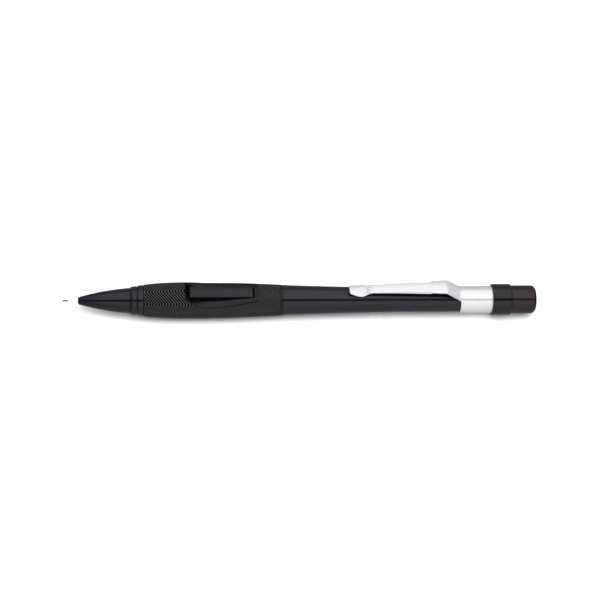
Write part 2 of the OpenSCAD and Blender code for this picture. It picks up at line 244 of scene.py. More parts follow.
def combine(piece, other, operation="DIFFERENCE", solver="EXACT"):
    """Cuts another object's mesh from a piece, or joins them, and removes the other object."""
    modifier = piece.modifiers.new("combine", "BOOLEAN")
    modifier.operation = operation
    modifier.object = other
    modifier.solver = solver
    apply_modifiers(piece)
    bpy.data.objects.remove(other)


def bevel_edges(piece, width, segments=3, angle=30):
    """Rounds a piece's sharp edges by a width in millimetres."""
    modifier = piece.modifiers.new("bevel", "BEVEL")
    modifier.width = width * MM
    modifier.segments = segments
    modifier.limit_method = "ANGLE"
    modifier.angle_limit = math.radians(angle)
    modifier.harden_normals = False
    apply_modifiers(piece)


def shade(piece, sharp=35):
    """Smooth shading that keeps the edges past an angle sharp."""
    mesh = piece.data
    mesh.polygons.foreach_set("use_smooth", [True] * len(mesh.polygons))
    mesh.set_sharp_from_angle(angle=math.radians(sharp))


def place(piece, body, slot, *nodes):
    """Lets a piece ride on a body in place of CAD nodes, which it hides; its slot argument is not used."""
    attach(piece, body)
    if nodes:
        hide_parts(*nodes)
    return piece


# ---------------------------------------------------------------- materials


class Shader:
    """A Principled material with helpers for the textures that drive it."""

    def __init__(self, name, color, **settings):
        self.material = bpy.data.materials.new(name)
        self.material.use_nodes = True
        self.nodes = self.material.node_tree.nodes
        self.links = self.material.node_tree.links
        self.surface = self.nodes["Principled BSDF"]
        self.material.diffuse_color = (*color, 1)
        self.color = color
        self.surface.inputs["Base Color"].default_value = (*color, 1)
        for key, value in settings.items():
            self.surface.inputs[key.replace("_", " ")].default_value = value
        self.coordinates = self.nodes.new("ShaderNodeTexCoord").outputs["Object"]

    def stretched(self, x, y, z):
        """Object coordinates, in metres, scaled along each axis."""
        mapping = self.nodes.new("ShaderNodeMapping")
        mapping.inputs["Scale"].default_value = (x, y, z)
        self.links.new(self.coordinates, mapping.inputs["Vector"])
        return mapping.outputs["Vector"]

    def noise(self, scale, detail=3, roughness=0.5, vector=None):
        """A noise value; scale is in features a metre."""
        node = self.nodes.new("ShaderNodeTexNoise")
        node.inputs["Scale"].default_value = scale
        node.inputs["Detail"].default_value = detail
        node.inputs["Roughness"].default_value = roughness
        self.links.new(vector or self.coordinates, node.inputs["Vector"])
        return node.outputs["Fac"]

    def spread(self, value, low, high, start=0.3, end=0.7):
        """A value from start to end, spread over low to high."""
        node = self.nodes.new("ShaderNodeMapRange")
        node.inputs["From Min"].default_value = start
        node.inputs["From Max"].default_value = end
        node.inputs["To Min"].default_value = low
        node.inputs["To Max"].default_value = high
        self.links.new(value, node.inputs["Value"])
        return node.outputs["Result"]

    def ramp(self, value, stops):
        """A colour from (place, colour) stops."""
        node = self.nodes.new("ShaderNodeValToRGB")
        elements = node.color_ramp.elements
        while len(elements) < len(stops):
            elements.new(0.5)
        for element, (place_at, color) in zip(elements, stops):
            element.position = place_at
            element.color = (*color, 1)
        self.links.new(value, node.inputs["Fac"])
        return node.outputs["Color"]

    def tint(self, value, low, high):
        """Drives the base colour between two brightnesses of the material's own colour."""
        stops = [(0.3, [c * low for c in self.color]), (0.7, [c * high for c in self.color])]
        self.links.new(self.ramp(value, stops), self.surface.inputs["Base Color"])

    def drive(self, socket, value):
        self.links.new(value, self.surface.inputs[socket])

    def add(self, a, b, share=0.5):
        """A blend of two values."""
        node = self.nodes.new("ShaderNodeMix")
        node.data_type = "FLOAT"
        node.inputs["Factor"].default_value = share
        self.links.new(a, node.inputs["A"])
        self.links.new(b, node.inputs["B"])
        return node.outputs["Result"]

    def bump(self, value, height, strength=1.0):
        """Raises the surface by up to height metres."""
        node = self.nodes.new("ShaderNodeBump")
        node.inputs["Distance"].default_value = height
        node.inputs["Strength"].default_value = strength
        self.links.new(value, node.inputs["Height"])
        self.links.new(node.outputs["Normal"], self.surface.inputs["Normal"])


def polished_plastic(name, color, rough=0.06, haze=0.04):
    """Moulded gloss plastic: faint flow in the colour, hazy patches and hairline scratches along it."""
    shader = Shader(name, color, IOR=1.40)
    flow = shader.noise(1, 4, 0.55, shader.stretched(60, 260, 260))
    shader.tint(flow, 0.85, 1.2)
    patches = shader.noise(180, 4, 0.6)
    hairlines = shader.noise(1, 2, 0.6, shader.stretched(250, 9000, 9000))
    shader.drive("Roughness", shader.spread(shader.add(patches, hairlines, 0.45), rough, rough + haze))
    shader.bump(shader.add(shader.noise(420, 2, 0.5), hairlines, 0.2), 2.5e-6, 0.5)
    return shader.material


def satin_plastic(name, color, rough=0.32, ior=1.48):
    """Moulded plastic with a fine spark-eroded grain."""
    shader = Shader(name, color, IOR=ior)
    grain = shader.noise(9000, 2, 0.6)
    shader.tint(shader.noise(220, 4, 0.6), 0.85, 1.25)
    sheen = shader.add(shader.noise(500, 3), grain, 0.4)
    shader.drive("Roughness", shader.spread(sheen, rough - 0.06, rough + 0.08))
    shader.bump(grain, 6e-6, 0.6)
    return shader.material


def moulded_rubber(name, color, rough=0.5, ior=1.5):
    """Soft rubber: mottled, with fine pores."""
    shader = Shader(name, color, IOR=ior)
    mottle = shader.noise(700, 5, 0.65)
    shader.tint(mottle, 0.75, 1.35)
    pores = shader.noise(16000, 2, 0.5)
    shader.drive("Roughness", shader.spread(shader.add(mottle, pores, 0.4), rough - 0.08, rough + 0.1))
    shader.bump(pores, 4e-6, 0.4)
    return shader.material


def bright_metal(name, color, rough=0.05, haze=0.06, grain=(300, 5000, 5000), metallic=1.0):
    """Plated or drawn metal: fine lines along the piece, under a soft haze."""
    shader = Shader(name, color, Metallic=metallic)
    lines = shader.noise(1, 3, 0.6, shader.stretched(*grain))
    haze_patches = shader.noise(350, 4, 0.6)
    shader.tint(haze_patches, 0.97, 1.02)
    shader.drive("Roughness", shader.spread(shader.add(haze_patches, lines, 0.5), rough, rough + haze))
    shader.bump(lines, 1.5e-6, 0.3)
    return shader.material


def turned_brass(name, color):
    """Brass with the rings that a lathe leaves across the axis."""
    shader = Shader(name, color, Metallic=1.0)
    rings = shader.noise(1, 2, 0.7, shader.stretched(14000, 120, 120))
    stain = shader.noise(500, 4, 0.6)
    shader.tint(stain, 0.7, 1.15)
    shader.drive("Roughness", shader.spread(shader.add(rings, stain, 0.5), 0.16, 0.36))
    shader.bump(rings, 5e-6, 0.6)
    return shader.material


def graphite_lead(name, color):
    """Polymer lead: dark grey, with a graphite sheen and specks."""
    shader = Shader(name, color, Metallic=0.25)
    specks = shader.noise(12000, 3, 0.7)
    shader.tint(specks, 0.6, 1.7)
    shader.drive("Roughness", shader.spread(specks, 0.28, 0.5))
    shader.bump(specks, 6e-6, 0.6)
    return shader.material


def eraser_rubber(name, color):
    """White vinyl eraser: chalky, with faint smudges and crumbs."""
    shader = Shader(name, color, Subsurface_Weight=0.0)
    smudge = shader.noise(300, 5, 0.7)
    stops = [(0.3, [c * 0.9 for c in color]), (0.62, color), (0.8, [min(1, c * 1.05) for c in color])]
    shader.links.new(shader.ramp(smudge, stops), shader.surface.inputs["Base Color"])
    crumbs = shader.noise(5000, 4, 0.6)
    shader.drive("Roughness", shader.spread(crumbs, 0.7, 0.9))
    shader.bump(crumbs, 3e-5, 0.6)
    return shader.material


# Colours are linear red, green and blue.
NOSE_BLACK = polished_plastic("nose_black", (0.0022, 0.0013, 0.0052), 0.06)
BARREL_BLACK = polished_plastic("barrel_black", (0.0050, 0.0040, 0.0084), 0.05)
COLLAR_BLACK = polished_plastic("collar_black", (0.0040, 0.0028, 0.0030), 0.09, 0.06)
CAP_MAROON = polished_plastic("cap_maroon", (0.0090, 0.0040, 0.0050), 0.12, 0.08)
BUTTON_BLACK = satin_plastic("button_black", (0.0026, 0.0021, 0.0040), 0.16, 1.40)
# The rib and groove rubbers are lit and shaded copies of the grip's one rubber: the ribs' lighter tone is
# painted highlight, the grooves' near-black is painted shade.
RIB_LIT_RUBBER = moulded_rubber("rib_rubber_painted_highlight", (0.041, 0.0395, 0.041), 0.32, 1.58)
GROOVE_SHADE_RUBBER = moulded_rubber("groove_rubber_painted_shade", (0.0012, 0.0012, 0.0012), 0.8, 1.1)
SMOOTH_RUBBER = moulded_rubber("smooth_rubber", (0.0042, 0.0036, 0.0050), 0.12, 1.42)
# The dish's rubber is smooth like the rings, and a darker copy of it as painted shade in the dish.
DISH_SHADE_RUBBER = moulded_rubber("dish_rubber_painted_shade", (0.0034, 0.0030, 0.0042), 0.24, 1.33)
# Near-black matt copy for the core under the grip: painted shade in the gap round the button.
CORE_SHADE_BLACK = satin_plastic("core_painted_shade", (0.0012, 0.0012, 0.0012), 0.6, 1.12)
RETAINER_RUBBER = moulded_rubber("retainer_rubber", (0.02, 0.02, 0.02), 0.6)
CLIP_CHROME = bright_metal("clip_chrome", (0.595, 0.595, 0.605), 0.13, 0.05, metallic=0.44)
# Dark copy of the chrome for the sheet's inner face: painted shade, which darkens the gap under the arm.
CLIP_INSIDE_SHADE = bright_metal("clip_inside_painted_shade", (0.10, 0.10, 0.105), 0.3, 0.1, metallic=0.6)
SLEEVE_STEEL = bright_metal("sleeve_steel", (0.80, 0.81, 0.82), 0.25, 0.12, (200, 12000, 12000), 0.5)
SPRING_STEEL = bright_metal("spring_steel", (0.62, 0.63, 0.65), 0.2, 0.15)
BRASS = turned_brass("turned_brass", (0.75, 0.52, 0.20))
INNER_PLASTIC = satin_plastic("inner_plastic", (0.045, 0.045, 0.048), 0.4)
LEAD_GRAPHITE = graphite_lead("lead_graphite", (0.035, 0.035, 0.038))
ERASER_WHITE = eraser_rubber("eraser_white", (0.85, 0.85, 0.83))

# ---------------------------------------------------------------- writing end

NOSE_TIP_R = 1.1
NOSE_BASE_R = 3.95
NOSE_BELLY = 0.62
NOSE_HOLE_R = 0.52
SPIGOT_R = 2.9
SPIGOT_CORE_R = SPIGOT_R - 0.1

# Bores of the nose from its front, for the slider, the clutch ring and the chuck's housing.
SLIDER_BORE_S, SLIDER_BORE_R = NOSE_S + 3.2, 1.25
RING_BORE_S, RING_BORE_R = NOSE_S + 11.2, 1.56
HOUSING_BORE_S, HOUSING_BORE_R = NOSE_S + 14.25, 2.2


def nose_radius(t):
    """Outer radius of the bullet nose, from its tip at t 0 to its base at t 1."""
    return mix(NOSE_TIP_R, NOSE_BASE_R, (1 + NOSE_BELLY) * t - NOSE_BELLY * t * t)


def make_nose():
    """The bullet nose with its spigot and its stepped bore."""
    length = NOSE_END_S - NOSE_S
    steps = 40
    outline = [(NOSE_S, NOSE_HOLE_R, 0.05), (NOSE_S, nose_radius(0), 0.55)]
    outline += [(NOSE_S + length * t, nose_radius(t), 0)
                for t in [0.04 + 0.94 * k / steps for k in range(steps + 1)]]
    outline += [
        (NOSE_END_S, NOSE_BASE_R, 0.08),
        (NOSE_END_S, SPIGOT_CORE_R, 0.05),
        (SPIGOT_END_S, SPIGOT_CORE_R, 0.15),
        (SPIGOT_END_S, HOUSING_BORE_R, 0.1),
        (HOUSING_BORE_S, HOUSING_BORE_R, 0.05),
        (HOUSING_BORE_S, RING_BORE_R, 0.05),
        (RING_BORE_S, RING_BORE_R, 0.2),
        (RING_BORE_S - 0.3, SLIDER_BORE_R, 0.2),
        (SLIDER_BORE_S, SLIDER_BORE_R, 0.05),
        (SLIDER_BORE_S, NOSE_HOLE_R, 0.05),
    ]
    nose = lathe("nose_cone_shell", outline, NOSE_BLACK, FINE)
    place(nose, "nose_body", "nose_plastic", "nose_cone")


def make_nose_thread():
    """The screw thread on the nose's spigot, as one ridge wound along it."""
    pitch, sides = 0.8, 48
    ridge_h, root_half, crest_half = 0.1, 0.26, 0.05
    buried_r, low_r = SPIGOT_CORE_R - 0.06, SPIGOT_CORE_R - 0.01
    first, last = NOSE_END_S + 0.5, SPIGOT_END_S - 0.5
    count = int((last - first) / pitch * sides)
    bm = bmesh.new()
    rings = []
    for k in range(count + 1):
        angle = 2 * math.pi * k / sides
        s = first + pitch * k / sides
        crest_r = low_r + ridge_h * min(1, k / (sides / 2), (count - k) / (sides / 2))
        profile = (
            (-root_half, buried_r),
            (-crest_half, crest_r),
            (crest_half, crest_r),
            (root_half, buried_r),
        )
        rings.append([bm.verts.new((s + ds, r * math.sin(angle), r * math.cos(angle))) for ds, r in profile])
    for a, b in zip(rings, rings[1:]):
        for j in range(4):
            bm.faces.new([a[j], a[(j + 1) % 4], b[(j + 1) % 4], b[j]])
    bm.faces.new(rings[0])
    bm.faces.new(rings[-1][::-1])
    place(finish_mesh(bm, "nose_thread", NOSE_BLACK, 50), "nose_body", "nose_plastic")


def make_sleeve_and_lead():
    """The steel guide pipe, and the lead that runs through it."""
    sleeve_r, lead_r = radius("lead_sleeve"), radius("lead")
    bore_r = lead_r + 0.03
    worn_tip_r = 0.13
    sleeve = lathe("lead_sleeve_tube", [
        (SLEEVE_S, bore_r, 0.02),
        (SLEEVE_S, sleeve_r - 0.09, 0.05),
        (SLEEVE_S + 0.3, sleeve_r, 0.1),
        (SLEEVE_END_S, sleeve_r, 0.04),
        (SLEEVE_END_S, bore_r, 0.02),
    ], SLEEVE_STEEL, 64)
    place(sleeve, "sleeve_body", "sleeve_steel", "lead_sleeve")
    lead_s, lead_end_s = span("lead")
    lead = lathe("lead_rod", [
        (lead_s, 0, 0),
        (lead_s, worn_tip_r, 0.06),
        (lead_s + 0.12, lead_r, 0.08),
        (lead_end_s, lead_r, 0.03),
        (lead_end_s, 0, 0),
    ], LEAD_GRAPHITE, 48)
    place(lead, "lead_body", "graphite", "lead")


# ---------------------------------------------------------------- grip

# The grip swells over GRIP_SWELL from its front, stays level over GRIP_LEVEL, and tapers to its rear.
GRIP_FRONT_R = 4.2
GRIP_MAX_R = radius("grip")
GRIP_REAR_R = 4.85
GRIP_BORE_R = 3.63
GRIP_SWELL = 19.2
GRIP_LEVEL = 4
GRIP_COLUMNS = 272
BEAD_DEPTH = 0.24

# Each rib is a zigzag with WAVES points round the grip, WAVE_SIZE long from its front to its rear points.
RIB_START_S = GRIP_S + 4.15
RIB_END_S = GRIP_END_S - 0.5
RIB_PITCH = 0.895
RIB_DEPTH = 0.3
RIB_SHARP = 28
WAVE_SIZE = 3.2
WAVES = 4
WAVE_TURN = math.radians(7)
WAVE_POINT = 0.94

# The dish's floor drops from the grip's surface over DISH_FRONT_RUN in line with the button, and over
# DISH_SIDE_RUN past DISH_SIDE_Y. It falls outward by DISH_SLOPE, and rises from DISH_RISE_S to its end.
DISH_S = BUTTON_S - 1.4
DISH_END_S = BUTTON_END_S + 1.4
DISH_LOW_H = 3.04
DISH_REAR_H = 3.95
DISH_SLOPE = 0.2
DISH_RISE_S = BUTTON_S + 8
DISH_FRONT_RUN = 1.0
DISH_SIDE_RUN = 7.7
DISH_SIDE_Y = 2.6
DISH_SIDE_BLEND = 1.2

# The slot round the button.
SLOT_S = BUTTON_S - 0.9
SLOT_END_S = BUTTON_END_S + 0.5
SLOT_FRONT_HALF = 3.05
SLOT_REAR_HALF = 2.2

# The cutting solids reach this far up and out, clear of the grip.
CLEAR_H = 9
CLEAR_Y = 8


def grip_radius(s):
    """Outer radius of the grip, over its ribs."""
    swell = NOSE_END_S + GRIP_SWELL
    taper = swell + GRIP_LEVEL
    if s < swell:
        return GRIP_MAX_R - (GRIP_MAX_R - GRIP_FRONT_R) * ((swell - s) / GRIP_SWELL) ** 2.8
    if s < taper:
        return GRIP_MAX_R
    return GRIP_MAX_R - (GRIP_MAX_R - GRIP_REAR_R) * ((s - taper) / (GRIP_END_S - taper)) ** 1.4


def wave(angle):
    """How far a rib runs along the pencil at an angle from the top: a zigzag with rounded points."""
    swing = WAVE_POINT * math.cos(WAVES * (angle + WAVE_TURN))
    return -WAVE_SIZE / 2 * math.asin(swing) / math.asin(WAVE_POINT)


# A rib across its pitch: its height, as a share of its depth, from the groove at -1 to the top at 0.
RIB_SHAPE = [
    (0.0, -1.0), (0.24, -1.0), (0.35, -0.30), (0.41, 0.0),
    (0.64, 0.0), (0.70, -0.30), (0.81, -1.0), (1.0, -1.0),
]


def rib_height(phase):
    """Height of a rib at its place in the pitch: a groove, then a flat-topped ridge."""
    phase %= 1
    for (p0, h0), (p1, h1) in zip(RIB_SHAPE, RIB_SHAPE[1:]):
        if phase <= p1:
            return RIB_DEPTH * mix(h0, h1, (phase - p0) / (p1 - p0))
    return -RIB_DEPTH


def dish_height(s, y):
    """Height of the dish's floor: steep before the button, gentler at its sides, and a slow rise behind."""
    beside = smooth_step((abs(y) - DISH_SIDE_Y) / DISH_SIDE_BLEND)
    level = DISH_S + mix(DISH_FRONT_RUN, DISH_SIDE_RUN, beside)
    fall = DISH_SLOPE * max(0, abs(y) - BUTTON_HALF_W)
    if s < level:
        u = (level - s) / (level - DISH_S)
        return mix(DISH_LOW_H - fall, GRIP_MAX_R, 1 - math.sqrt(max(0, 1 - u * u)))
    if s < DISH_RISE_S:
        return DISH_LOW_H - fall
    return mix(DISH_LOW_H, DISH_REAR_H, smooth_step((s - DISH_RISE_S) / (DISH_END_S - DISH_RISE_S))) - fall


def plain_rings(outline):
    """Straight rings of (station, radius) for the smooth parts of the grip."""
    return [[(s, r)] * GRIP_COLUMNS for s, r in outline]


def grip_front():
    """Outline of the grip's front end, with the grooves that part its two beads from the ribs."""
    bead, second_bead = GRIP_S + 1.75, GRIP_S + 3.9
    return fillet([
        (GRIP_S, GRIP_BORE_R, 0),
        (GRIP_S, grip_radius(GRIP_S) - 0.02, 0.18),
        (GRIP_S + 0.9, grip_radius(GRIP_S + 0.9), 0.6),
        (bead, grip_radius(bead), 0.15),
        (bead + 0.12, grip_radius(bead) - BEAD_DEPTH, 0.05),
        (bead + 0.42, grip_radius(bead + 0.42) - BEAD_DEPTH, 0.05),
        (bead + 0.54, grip_radius(bead + 0.54), 0.15),
        (GRIP_S + 3.1, grip_radius(GRIP_S + 3.1), 0.6),
        (second_bead, grip_radius(second_bead), 0.12),
        (second_bead + 0.1, grip_radius(second_bead) - RIB_DEPTH, 0.04),
        (RIB_START_S - 0.02, grip_radius(RIB_START_S) - RIB_DEPTH, 0),
    ])


def grip_rear():
    """Outline of the grip's rear end, from the last groove to the bore."""
    lip_s = RIB_END_S + 0.16
    return fillet([
        (RIB_END_S + 0.02, grip_radius(RIB_END_S) - RIB_DEPTH, 0),
        (RIB_END_S + 0.1, grip_radius(RIB_END_S) - RIB_DEPTH, 0.03),
        (lip_s, grip_radius(lip_s), 0.05),
        (GRIP_END_S, grip_radius(GRIP_END_S), 0.12),
        (GRIP_END_S, GRIP_BORE_R, 0),
    ])


def rib_rings(angles):
    """Rings of (station, radius) along the waves of the ribs, held between the first and the last rib."""
    rings = []
    first = RIB_START_S - WAVE_SIZE
    pitches = int((RIB_END_S - RIB_START_S + 2 * WAVE_SIZE) / RIB_PITCH) + 1
    for pitch in range(pitches):
        for phase, _ in RIB_SHAPE[1:]:
            base = first + (pitch + phase) * RIB_PITCH
            ring = []
            for angle in angles:
                s = min(RIB_END_S, max(RIB_START_S, base + wave(angle)))
                ring.append((s, grip_radius(s) + rib_height((s - wave(angle) - first) / RIB_PITCH)))
            rings.append(ring)
    return rings


def make_grip():
    """The rubber sleeve: a ribbed tube with the dish and the button's slot cut out of it."""
    angles = [2 * math.pi * k / GRIP_COLUMNS for k in range(GRIP_COLUMNS)]
    rings = plain_rings(grip_front()) + rib_rings(angles) + plain_rings(grip_rear())
    bm = bmesh.new()
    made = []
    for ring in rings:
        made.append([bm.verts.new((s, r * math.sin(a), r * math.cos(a))) for (s, r), a in zip(ring, angles)])
    for i, ring in enumerate(made):
        following = made[(i + 1) % len(made)]
        for k in range(GRIP_COLUMNS):
            j = (k + 1) % GRIP_COLUMNS
            bm.faces.new([ring[k], ring[j], following[j], following[k]])
    grip = finish_mesh(bm, "grip_sleeve", RIB_LIT_RUBBER, RIB_SHARP)

    combine(grip, make_scoop())
    slot_cut = bmesh.new()
    slot = rounded_box(SLOT_S, SLOT_END_S, SLOT_FRONT_HALF, SLOT_REAR_HALF, 0.9)
    prism(slot_cut, slot, 0.5, CLEAR_H, "top")
    combine(grip, finish_mesh(slot_cut, "slot", RIB_LIT_RUBBER))
    shade(grip, RIB_SHARP)
    paint_grip(grip)
    place(grip, "barrel_body", "grip_rubber", "grip")


def make_scoop():
    """The solid that the dish takes out of the grip."""
    steps = 72
    rows = [mix(DISH_S, DISH_END_S, (k / steps) ** 1.4) for k in range(steps + 1)]
    columns = [-CLEAR_Y] + [k / 5 for k in range(-27, 28)] + [CLEAR_Y]
    bm = bmesh.new()
    floor = [[bm.verts.new((s, y, dish_height(s, y))) for y in columns] for s in rows]
    lid = [[bm.verts.new((s, y, CLEAR_H)) for y in (-CLEAR_Y, CLEAR_Y)] for s in (DISH_S, DISH_END_S)]
    for a, b in zip(floor, floor[1:]):
        for k in range(len(columns) - 1):
            bm.faces.new([a[k], a[k + 1], b[k + 1], b[k]])
    bm.faces.new([lid[0][0], lid[1][0], lid[1][1], lid[0][1]])
    bm.faces.new(floor[0] + [lid[0][1], lid[0][0]])
    bm.faces.new(floor[-1] + [lid[1][1], lid[1][0]])
    bm.faces.new([row[0] for row in floor] + [lid[1][0], lid[0][0]])
    bm.faces.new([row[-1] for row in floor] + [lid[1][1], lid[0][1]])
    return finish_mesh(bm, "scoop", RIB_LIT_RUBBER)


def polar(face):
    """Station of a face's middle, its distance from the axis and its height above it."""
    y, h = face.center.y / MM, face.center.z / MM - AXIS_H
    return face.center.x / MM + LENGTH / 2, math.hypot(y, h), h


def paint_grip(grip):
    """Paints the grip's one rubber by place: a lighter copy on the ribs as painted highlight, a near-black
    copy in the grooves as painted shade, the smooth rings in their own tone, and a darker copy in the dish as
    painted shade.
    """
    mesh = grip.data
    mesh.materials.clear()
    for material in (RIB_LIT_RUBBER, GROOVE_SHADE_RUBBER, SMOOTH_RUBBER, DISH_SHADE_RUBBER):
        mesh.materials.append(material)
    rib, groove, smooth, dish = range(4)
    margin = 0.02
    for face in mesh.polygons:
        s, r, h = polar(face)
        over_dish = h > dish_height(s, face.center.y / MM) - margin
        # Faces on the dish's floor take its darker copy, painted shade.
        if DISH_S - margin < s < DISH_END_S + margin and over_dish:
            face.material_index = dish
        elif s < RIB_START_S - 0.1 or s > RIB_END_S + 0.05:
            face.material_index = smooth
        # Faces deep in a groove take the painted shade; the ribs keep the painted highlight.
        elif grip_radius(s) - r > RIB_DEPTH / 4:
            face.material_index = groove
        else:
            face.material_index = rib


def rounded_box(first, last, first_half, last_half, corner, steps=6):
    """A (station, y) shape with rounded corners, whose half width changes along it."""
    rear_corner = min(corner, 0.4)
    corners = (
        (last - rear_corner, last_half - rear_corner, 0, rear_corner),
        (first + corner, first_half - corner, 90, corner),
        (first + corner, corner - first_half, 180, corner),
        (last - rear_corner, rear_corner - last_half, 270, rear_corner),
    )
    points = []
    for s, y, turn, r in corners:
        for k in range(steps + 1):
            a = math.radians(turn + 90 * k / steps)
            points.append((s + r * math.cos(a), y + r * math.sin(a)))
    return points


# ---------------------------------------------------------------- side button

BUTTON_HALF_W = 2.05
BUTTON_TOP_H = 4.4
BUTTON_SKIRT_H = 2.75
BUTTON_HEEL_H = 1.35

# The visible shell reaches a little past the CAD button at both ends.
SHELL_S = BUTTON_S - 0.35
SHELL_END_S = BUTTON_END_S + 0.2
PIVOT_S, PIVOT_H, PIVOT_R = BUTTON_END_S - 1.7, 1.9, 0.45


def make_button():
    """The button's shell, open below, with a deeper heel round its pivot."""
    bm = bmesh.new()
    prism(bm, [
        (SHELL_S, BUTTON_SKIRT_H),
        (SHELL_S, BUTTON_TOP_H - 0.5),
        (SHELL_S + 0.3, BUTTON_TOP_H - 0.16),
        (SHELL_S + 0.8, BUTTON_TOP_H),
        (SHELL_END_S - 0.35, BUTTON_TOP_H),
        (SHELL_END_S, BUTTON_TOP_H - 0.45),
        (SHELL_END_S, BUTTON_HEEL_H),
        (BUTTON_END_S - 3.7, BUTTON_HEEL_H),
        (BUTTON_END_S - 4.7, BUTTON_SKIRT_H),
    ], -BUTTON_HALF_W, BUTTON_HALF_W)
    button = finish_mesh(bm, "side_button_shell", BUTTON_BLACK)
    bevel_edges(button, 0.28, 4, 20)
    make_button_hollow(button)
    shade(button, 32)
    place(button, "button_body", "button_plastic", "side_button")
    make_button_legs()


def make_button_hollow(button):
    """Hollows the button from below, up to its roof and its end walls."""
    wall, past = 0.6, 1
    roof_h, front_roof_h, half_w = 3.55, 3.1, 1.5
    hollow = bmesh.new()
    prism(hollow, [
        (BUTTON_S - past, front_roof_h),
        (BUTTON_S + wall, front_roof_h),
        (BUTTON_S + wall, roof_h),
        (BUTTON_END_S - wall, roof_h),
        (BUTTON_END_S - wall, BUTTON_SKIRT_H),
        (BUTTON_END_S + past, BUTTON_SKIRT_H),
        (BUTTON_END_S + past, 0),
        (BUTTON_S - past, 0),
    ], -half_w, half_w)
    combine(button, finish_mesh(hollow, "hollow", BUTTON_BLACK))


def make_button_legs():
    """The two legs that push the cam, and the trunnions that the button pivots on."""
    root_h = 2.9
    toe_s, toe_h, toe_r = BUTTON_S + 4.4, 0.9, 0.4
    toe = [math.pi + math.pi * k / 10 for k in range(11)]
    leg = [(toe_s - 0.8, root_h)]
    leg += [(toe_s + toe_r * math.cos(a), toe_h + toe_r * math.sin(a)) for a in toe]
    leg += [(toe_s + 1.2, root_h)]
    turns = [2 * math.pi * k / 24 for k in range(24)]
    trunnion = [(PIVOT_S + PIVOT_R * math.cos(a), PIVOT_H + PIVOT_R * math.sin(a)) for a in turns]
    bm = bmesh.new()
    for side in (-1, 1):
        prism(bm, leg, side * 1.5, side * 2.0)
        prism(bm, trunnion, side * 1.7, side * 2.65)
    place(finish_mesh(bm, "side_button_legs", BUTTON_BLACK, 40), "button_body", "button_plastic")


# ---------------------------------------------------------------- barrel

BARREL_R = 3.87
BARREL_FRONT_R = 4.75
BARREL_TAPER = 37

# The core runs under the grip. Behind it the bore narrows, and widens again for the eraser holder's plug.
CORE_R = 3.6
CORE_BORE_R = 2.95
BARREL_BORE_R = 2.75
PLUG_BORE_R = 3.0

# The clip's sheet, and the seat that its band sits on.
SHEET_T = 0.4
BAND_SEAT_R = radius("clip_band") - SHEET_T


def barrel_radius(s):
    """Outer radius of the visible barrel."""
    straight = GRIP_END_S + BARREL_TAPER
    if s > straight:
        return BARREL_R
    return BARREL_R + (BARREL_FRONT_R - BARREL_R) * ((straight - s) / BARREL_TAPER) ** 1.45


def make_barrel():
    """The barrel: a core under the grip, the tapered tube behind it, and the band's seat at its end."""
    start = GRIP_END_S + FACE_GAP
    groove = start + 1.6
    last = BAND_S - FACE_GAP
    steps = 48
    outline = [
        (GRIP_S, CORE_BORE_R, 0.1),
        (GRIP_S, CORE_R, 0.1),
        (start, CORE_R, 0),
        (start, barrel_radius(start), 0.14),
        (groove, barrel_radius(groove), 0.05),
        (groove + 0.1, barrel_radius(groove) - 0.07, 0.05),
        (groove + 0.25, barrel_radius(groove) - 0.03, 0.08),
    ]
    stations = [groove + 0.6 + (last - 0.4 - groove) * k / steps for k in range(steps)]
    outline += [(s, barrel_radius(s), 0) for s in stations]
    outline += [
        (last, BARREL_R, 0.06),
        (last, BAND_SEAT_R - 0.02, 0),
        (BAND_END_S - FACE_GAP, BAND_SEAT_R - 0.02, 0.1),
        (BAND_END_S - FACE_GAP, PLUG_BORE_R, 0.1),
        (BAND_S - 0.7, PLUG_BORE_R, 0),
        (BAND_S - 0.7, BARREL_BORE_R, 0),
        (GRIP_S + 6.6, BARREL_BORE_R, 0),
        (GRIP_S + 6.6, CORE_BORE_R, 0),
    ]
    barrel = lathe("barrel_tube", outline, BARREL_BLACK, FINE)
    window = bmesh.new()
    half = BUTTON_HALF_W + 0.15
    prism(window, rounded_box(BUTTON_S - 0.6, BUTTON_END_S + 0.4, half, half, 0.4), 1, CLEAR_H, "top")
    combine(barrel, finish_mesh(window, "window", BARREL_BLACK))
    shade(barrel, 30)
    paint_core(barrel)
    place(barrel, "barrel_body", "barrel_plastic", "barrel")


def paint_core(barrel):
    """The core under the grip is left matt and near-black: painted shade in the gap round the button, where
    it shows.
    """
    barrel.data.materials.append(CORE_SHADE_BLACK)
    for face in barrel.data.polygons:
        s, r, _ = polar(face)
        if s < GRIP_END_S and r < CORE_R + 0.05:
            face.material_index = 1


# ---------------------------------------------------------------- clip

CLIP_TOP_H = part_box("clip_arm")[1].z / MM - AXIS_H
BAND_R = radius("clip_band")
LOBE_S = CLIP_S + 4.1
NECK_S = CLIP_S + 6.8
FOLD_END_S = BAND_S - 9.6
BEND_S = BAND_S - 5
NECK_HALF = 1.66
FOLD_END_HALF = 2.35
BEND_HALF = 2.65
ROOT_HALF_ARC = math.radians(45)
LOBE_BOW_R = 9
ARM_BOW_R = 13
DIMPLE_DEPTH = 0.05
FOLD_LENGTH = 0.45
FOLD_DEPTH = 0.6
FOLD_TURN = math.radians(62)
FOLD_STEPS = 5
CLIP_COLUMNS = 24

# Height of the outer face along the arm, below the clip's top.
CLIP_DROP = [
    (0, 1.22), (1.2, 1.54), (2.4, 1.82), (3.8, 1.94), (5.2, 1.66), (6.6, 1.20), (7.8, 1.00),
    (9.8, 0.86), (12.0, 0.68), (13.8, 0.57), (17.0, 0.42), (24.8, 0.18), (29.0, 0.04), (30.1, 0.0),
]

# Height of the outer face from the bend to the band, as a share of the step between them.
BEND_FALL = [(0, 1), (0.1, 0.94), (0.86, 0.13), (0.97, 0.01), (1, 0)]

